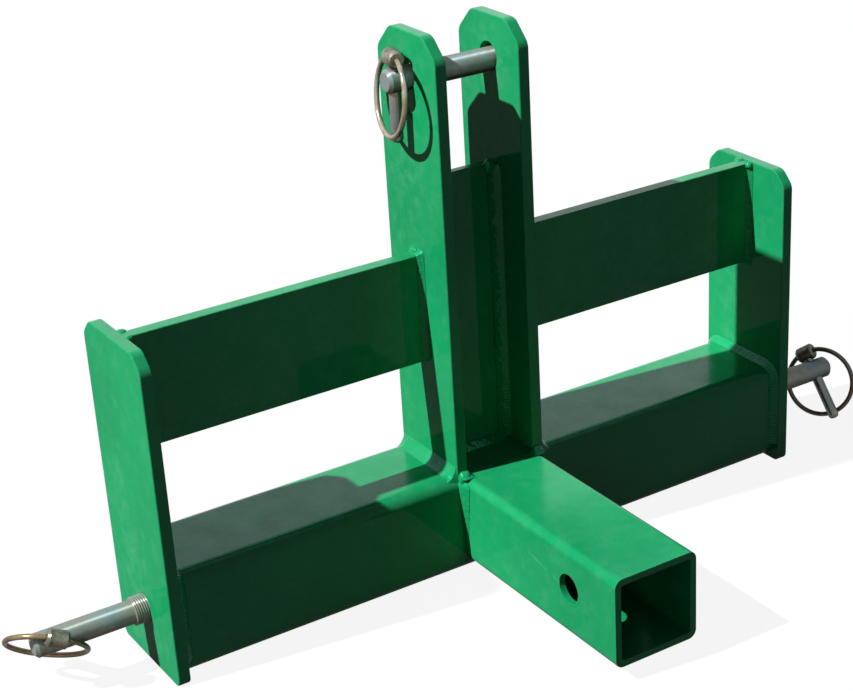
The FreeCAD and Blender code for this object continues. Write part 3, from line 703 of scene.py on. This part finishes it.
def crossbar_welds(paint):
    """The beads at both ends of each crossbar, with lumps where they stop."""
    for sign, side in SIDES:
        low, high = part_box(f"{side}_crossbar")
        mast_x = min(low.x, high.x, key=abs)
        plate_x = max(low.x, high.x, key=abs)
        over = [(low.y, low.z), (low.y, high.z), (high.y, high.z), (high.y, low.z)]
        under = [(low.y, high.z), (low.y, low.z), (high.y, low.z), (high.y, high.z)]
        # Each lump's distance from the weld's face, its y and z, and its size in millimetres
        mast_lumps = [(1.2 * MM, high.y - 3 * MM, high.z + 0.8 * MM, (2.0, 4.5, 3.0))]
        plate_lumps = [
            (1.4 * MM, low.y - 0.6 * MM, high.z - 1.6 * MM, (3.2, 3.0, 2.8)),
            (1.6 * MM, high.y + 0.4 * MM, high.z - 1.2 * MM, (4.0, 3.8, 2.6)),
        ]
        ends = (
            ("mast", mast_x, sign, over, mast_lumps),
            ("plate", plate_x, -sign, under, plate_lumps),
        )
        for place, x, way, outline, stops in ends:
            corners = [Vector((x, y, z)) for y, z in outline]
            centre = Vector((x, 0, (low.z + high.z) / 2))
            stations = outline_stations(corners, centre, Vector((way, 0, 0)), BAR_BEAD, BAR_BEAD)
            name = f"{side}_bar_{place}_weld"
            lumps = []
            for along, y, z, size in stops:
                lumps.append(((x + way * along, y, z), [extent * MM for extent in size]))
            style = bead_style(seed=11 + sign, bulge=-0.04, ripple=0.10, lump=0.4)
            make_bead(f"{name}_bead", [stations], paint, [name], style, lumps)


def tube_surface(y):
    """Height of the cross tube's outer surface at a depth, round its top corners too."""
    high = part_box("cross_tube")[1]
    past = min(max(0.0, abs(y) - (high.y - TUBE_CORNER)), TUBE_CORNER)
    return high.z - TUBE_CORNER + math.sqrt(TUBE_CORNER ** 2 - past ** 2)


def mast_weld_stations(low, high, sign):
    """Stations along a mast plate's outer foot and round its front and back edges."""
    outer = max(low.x, high.x, key=abs)
    inner = min(low.x, high.x, key=abs)
    turn = 1.5 * MM
    end_rise = 4.5 * MM
    end_reach = 1.1 * MM
    end_drop = 3.4 * MM

    def end_station(x, y, way):
        point = Vector((x, y, tube_surface(y)))
        toe = Vector((x, y + way * end_reach, point.z - end_drop))
        return point, Vector((x, y, low.z + end_rise)), toe

    def side_station(y):
        point = Vector((outer, y, tube_surface(y)))
        return point, Vector((outer, y, low.z + MAST_BEAD)), point + Vector((sign * MAST_BEAD, 0, 0))

    stations = [end_station(inner, low.y, -1), end_station(outer - sign * turn, low.y, -1)]
    for y in steps(low.y + turn, high.y - turn, (high.y - low.y - 2 * turn) / FOOT_STEPS):
        stations.append(side_station(y))
    stations += [end_station(outer - sign * turn, high.y, 1), end_station(inner, high.y, 1)]
    return stations


def mast_welds(paint):
    """The smooth fillets at the mast plates' feet, with a lump at the front of the left one."""
    receiver_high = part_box("receiver_tube")[1]
    for sign, side in SIDES:
        low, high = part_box(f"{side}_mast_plate")
        stations = mast_weld_stations(low, high, sign)
        corner = Vector((sign * receiver_high.x, receiver_high.y, receiver_high.z))
        front = corner + Vector((-sign * 2 * MM, -0.4 * MM, -0.6 * MM))
        size = (5.0 * MM, 3.8 * MM, 5.0 * MM) if side == "left" else (4.2 * MM, 3.4 * MM, 3.6 * MM)
        name = f"{side}_mast_weld"
        style = bead_style(seed=21 + sign, bulge=-0.14, ripple=0.05, lump=0.30)
        make_bead(f"{name}_bead", [stations], paint, [name], style, [(front, size)])


def web_welds(paint):
    """The beads on the web's front: a broad one at each mast plate and one along its foot."""
    low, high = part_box("mast_web_plate")
    runs = []
    for x, sign, leg in ((high.x, -1, WEB_BEAD), (low.x, 1, 0.75 * WEB_BEAD)):
        run = []
        for z in (low.z, high.z - 0.5 * MM):
            corner = Vector((x, low.y, z))
            run.append((corner, corner + Vector((sign * leg, 0, 0)), corner + Vector((0, -leg, 0))))
        runs.append(run)
    foot = []
    for x in (low.x, high.x):
        corner = Vector((x, low.y, low.z))
        up = corner + Vector((0, 0, WEB_FOOT_BEAD))
        foot.append((corner, up, corner + Vector((0, -WEB_FOOT_BEAD, 0))))
    runs.append(foot)
    stop = (high.x - 5.5 * MM, low.y - 1.5 * MM, high.z - 1.5 * MM)
    stop_size = (5.2 * MM, 3.4 * MM, 4.6 * MM)
    style = bead_style(seed=31, bulge=0.05, ripple=0.16, lump=0.6)
    make_bead("web_weld_bead", runs, paint, ["web_weld"], style, [(stop, stop_size)])


def receiver_welds(paint):
    """The beads at the receiver's root: up both sides and across its top to the mast plates."""
    low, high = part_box("receiver_tube")
    tube_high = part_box("cross_tube")[1]
    root = high.y
    shoulder = tube_high.z - TUBE_CORNER
    legs = ((low.z + 4 * MM, 0.8, 2.5), (shoulder, 3.6, 8.5), (high.z - 2 * MM, 4.2, 9.0))
    for sign, side in SIDES:
        wall = high.x * sign
        run = []
        for z, width, depth in legs:
            back = max(0.0, z - shoulder) ** 2 / (2 * TUBE_CORNER)
            toe = Vector((wall + sign * width * MM, root + back, z))
            run.append((Vector((wall, root, z)), toe, Vector((wall, root - depth * MM, z))))
        name = f"{side}_receiver_weld"
        style = bead_style(seed=41 + sign, bulge=0.02, ripple=0.08, lump=0.5)
        make_bead(f"{name}_bead", [run], paint, [name], style)
    mast_low, mast_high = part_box("right_mast_plate")
    run = []
    for share in range(-10, 11):
        x = mast_high.x * 0.98 * share / 10
        at_mast = abs(x) > mast_low.x - 2 * MM
        rise = RECEIVER_MAST_RISE if at_mast else RECEIVER_TOP_RISE
        toe_a = Vector((x, root - RECEIVER_TOP_BEAD, high.z))
        toe_b = Vector((x, mast_low.y - 0.1 * MM, high.z + rise))
        run.append((Vector((x, root, high.z)), toe_a, toe_b))
    style = bead_style(seed=51, bulge=0.04, ripple=0.06, lump=0.3)
    make_bead("receiver_top_weld_bead", [run], paint, ["receiver_top_weld"], style)


def receiver_seam(paint):
    """The tube mill's weld seam along the inside of the receiver's top wall."""
    low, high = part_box("receiver_tube")
    wall = high.z - RECEIVER_WALL
    middle = -6 * MM
    run = []
    for y in (low.y + 0.5 * MM, high.y - 0.5 * MM):
        corner = Vector((middle, y, wall + 0.6 * MM))
        toes = [Vector((middle + step, y, wall + 0.05 * MM)) for step in (2.2 * MM, -2.2 * MM)]
        run.append((corner, *toes))
    style = bead_style(seed=61, bulge=0.22, ripple=0.2, lump=0.25)
    make_bead("receiver_seam", [run], paint, [], style)


# Pins and rings

def lathe(name, stations, radius_at, place, sides=64):
    """Turn a radius, given by distance and angle, about the X axis of a placing matrix."""
    rings = []
    for x in stations:
        ring = []
        for step in range(sides):
            turn = 2 * math.pi * step / sides
            radius = radius_at(x, turn)
            ring.append(place @ Vector((x, radius * math.cos(turn), radius * math.sin(turn))))
        rings.append(ring)
    return smooth_mesh(name, *join_rings(rings))


def steps(start, end, size):
    """Even steps from start to end, each about the given size."""
    count = max(1, round((end - start) / size))
    return [start + (end - start) * step / count for step in range(count + 1)]


def cut_hole(piece, centre, direction, radius, length):
    """Drill a round hole through a piece."""
    across = axis_vector(direction)
    place = Matrix.Translation(centre) @ across.to_track_quat("X", "Z").to_matrix().to_4x4()
    drill = lathe("drill", [-length / 2, length / 2], lambda x, turn: radius, place, sides=48)
    cut = piece.modifiers.new("hole", "BOOLEAN")
    cut.operation = "DIFFERENCE"
    cut.solver = "EXACT"
    cut.object = drill
    bpy.context.view_layer.update()
    graph = bpy.context.evaluated_depsgraph_get()
    mesh = bpy.data.meshes.new_from_object(piece.evaluated_get(graph))
    piece.modifiers.clear()
    piece.data = mesh
    bpy.data.objects.remove(drill)
    sharpen(piece)


def sharpen(piece):
    """Keep hard edges hard under smooth shading."""
    piece.data.set_sharp_from_angle(angle=math.radians(35))


def joint(name):
    """A joint's row in the frame."""
    return [item for item in frame["joints"] if item["name"] == name][0]


def lower_pin(side, sign, zinc):
    """A lower hitch pin with its thread, bevelled tip and cross hole."""
    low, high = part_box(f"{side}_lower_pin")
    plate_low, plate_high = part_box(f"{side}_end_plate")
    inner = min(abs(low.x), abs(high.x))
    tip = max(abs(low.x), abs(high.x))
    shoulder = max(abs(plate_low.x), abs(plate_high.x)) + THREAD_SHOW
    place = Matrix.Diagonal((sign, 1, 1, 1))

    def radius_at(x, turn):
        if x > tip - PIN_TIP_BEVEL:
            return PIN_RADIUS - (x - tip + PIN_TIP_BEVEL)
        if x > shoulder:
            return PIN_RADIUS
        phase = (x / THREAD_PITCH + turn / (2 * math.pi)) % 1
        groove = max(0.0, 1 - abs(phase - 0.5) * THREAD_STEEPNESS)
        lip = min(1.0, (shoulder - x) / THREAD_RUN_OUT)
        lead_in = THREAD_LEAD_IN * (1 - min(1.0, lip * 2))
        return THREAD_RADIUS - THREAD_DEPTH * groove * lip - lead_in

    stations = steps(inner, shoulder, 0.16 * MM)
    stations += steps(shoulder + SHARP_STEP, tip - PIN_TIP_BEVEL, 4 * MM)
    stations += [tip - PIN_TIP_BEVEL + SHARP_STEP, tip]
    name = f"{side}_lower_pin"
    piece = lathe(f"{name}_turned", stations, radius_at, place, sides=96)
    pull = joint(f"{side}_linch_pull")
    swing = joint(f"{side}_ring_swing")
    centre = Vector((swing["pos_m"][0], 0, 0))
    cut_hole(piece, centre, pull["axis"], LINCH_RADIUS + HOLE_GAP, length=30 * MM)
    dress(piece, "frame", zinc, "zinc", name)


def linch_frame(which):
    """A linch pin's head centre, its direction to the tail and its ring's hinge axis."""
    tail = -axis_vector(joint(f"{which}_linch_pull")["axis"])
    swing = joint(f"{which}_ring_swing")
    return Vector(swing["pos_m"]), tail, axis_vector(swing["axis"])


def linch_pin(which, zinc, cast_zinc):
    """A linch pin: shaft with a rounded tail, and the barrel head drilled for the ring."""
    head, tail, hinge = linch_frame(which)
    turned = Matrix((tail, hinge, tail.cross(hinge))).transposed().to_4x4()
    place = Matrix.Translation(head) @ turned

    def shaft_radius(x, turn):
        short = x - (LINCH_TAIL - LINCH_ROUNDING)
        if short <= 0:
            return LINCH_RADIUS
        return LINCH_RADIUS - LINCH_ROUNDING + math.sqrt(max(0.0, LINCH_ROUNDING ** 2 - short ** 2))

    straight = LINCH_TAIL - LINCH_ROUNDING
    stations = steps(0, straight, 3 * MM)
    for angle in range(10, 91, 10):
        stations.append(LINCH_TAIL - LINCH_ROUNDING * (1 - math.sin(math.radians(angle))))
    shaft = lathe(f"{which}_linch_shaft", stations, shaft_radius, place, sides=40)
    sharpen(shaft)
    across = tail.cross(hinge)
    barrel_turn = Matrix((hinge, across, hinge.cross(across))).transposed().to_4x4()
    barrel_place = Matrix.Translation(head) @ barrel_turn

    def barrel_radius(x, turn):
        over = abs(x) - (HEAD_HALF - HEAD_BEVEL)
        dent = HEAD_DENT * noise.noise(Vector((x * 500, math.cos(turn) * 3, math.sin(turn) * 3)))
        return HEAD_RADIUS - max(0.0, over) + dent

    stations = steps(-HEAD_HALF, HEAD_HALF, 0.5 * MM)
    barrel = lathe(f"{which}_linch_head", stations, barrel_radius, barrel_place, sides=48)
    cut_hole(barrel, head, hinge, WIRE_RADIUS + HOLE_GAP, length=20 * MM)
    node = f"{which}_linch_pin"
    dress(shaft, f"{which}_linch", zinc, "zinc", node)
    dress(barrel, f"{which}_linch", cast_zinc, "zinc", node)


def ring_outline(reach):
    """Points along a ring's wire, across and along its plane: stub, bend, large arc and back."""
    meet = math.atan2(RING_BEND - reach, HEAD_HALF)
    flat = [(along, 0.0) for along in steps(RING_END_GAP, HEAD_HALF, 1 * MM)]
    for step in range(1, BEND_STEPS + 1):
        turn = -math.pi / 2 + (meet + math.pi / 2) * step / BEND_STEPS
        flat.append((HEAD_HALF + RING_BEND * math.cos(turn), RING_BEND + RING_BEND * math.sin(turn)))
    for step in range(1, ARC_STEPS + 1):
        turn = meet + (math.pi / 2 - meet) * step / ARC_STEPS
        flat.append((RING_RADIUS * math.cos(turn), reach + RING_RADIUS * math.sin(turn)))
    return flat + [(-across, along) for across, along in reversed(flat[:-1])]


def linch_ring(which, zinc):
    """The snap ring, its wire swept along two stubs, two bends and a large arc."""
    head, tail, hinge = linch_frame(which)
    reach = RING_BEND + math.sqrt((RING_RADIUS - RING_BEND) ** 2 - HEAD_HALF ** 2)
    lean = math.asin((LINCH_RADIUS + WIRE_RADIUS + RING_GAP) / (reach + RING_RADIUS))
    ring_way = tail * math.cos(lean) + hinge.cross(tail) * math.sin(lean)
    side = ring_way.cross(hinge).normalized()
    line = [head + hinge * across + ring_way * along for across, along in ring_outline(reach)]
    rings = []
    for number, point in enumerate(line):
        before = line[max(0, number - 1)]
        after = line[min(len(line) - 1, number + 1)]
        run = (after - before).normalized()
        out = run.cross(side).normalized()
        section = []
        for step in range(WIRE_SIDES):
            turn = 2 * math.pi * step / WIRE_SIDES
            section.append(point + (out * math.cos(turn) + side * math.sin(turn)) * WIRE_RADIUS)
        rings.append(section)
    node = f"{which}_linch_ring"
    wire = smooth_mesh(f"{node}_wire", *join_rings(rings))
    sharpen(wire)
    dress(wire, f"{which}_ring", zinc, "zinc", node)


def main():
    bpy.context.scene.view_settings.view_transform = "Standard"
    make_camera()
    make_world()
    make_floor(CAD_BOX[0][2])
    make_light()
    paint = paint_material("green_enamel", peel=0.10, pits=0.05, edge_wear_and_highlight=0.30, level=0.80)
    bead_paint = paint_material("green_enamel_on_welds", peel=0.14, pits=0.0, edge_wear_and_highlight=0.0, level=0.05)
    zinc = zinc_material(
        "zinc_on_turned_pins", ZINC_PALE, ZINC_WARM, ZINC_DARK,
        stain=0.14, grit=0.03, rough=0.40, turned=0.95,
    )
    linch_zinc = zinc_material(
        "zinc_on_linch_pins", LINCH_GREY, ZINC_WARM, ZINC_DARK, stain=0.30, grit=0.08, rough=0.18,
    )
    cast_zinc = zinc_material(
        "zinc_on_rough_castings", CAST_GREY, ZINC_WARM, CAST_DARK, stain=0.85, grit=0.35, rough=0.22,
    )
    left_wire = zinc_material(
        "yellow_zinc_wire", RING_GOLD, RING_BROWN, ZINC_DARK, stain=0.35, grit=0.05, rough=0.12,
    )
    right_wire = zinc_material(
        "dull_zinc_wire", RING_GREY, RING_BROWN, CAST_DARK, stain=0.35, grit=0.05, rough=0.20,
    )
    top_wire = zinc_material(
        "bright_zinc_wire", RING_PALE, RING_GOLD, RING_BROWN, stain=0.60, grit=0.05, rough=0.10,
    )
    finish_solids(paint, zinc)
    plates(paint)
    end_plate_welds(bead_paint)
    crossbar_welds(bead_paint)
    mast_welds(bead_paint)
    web_welds(bead_paint)
    receiver_welds(bead_paint)
    receiver_seam(bead_paint)
    for sign, side in SIDES:
        lower_pin(side, sign, zinc)
    for which, wire in (("left", left_wire), ("right", right_wire), ("top", top_wire)):
        linch_pin(which, linch_zinc, cast_zinc)
        linch_ring(which, wire)


main()
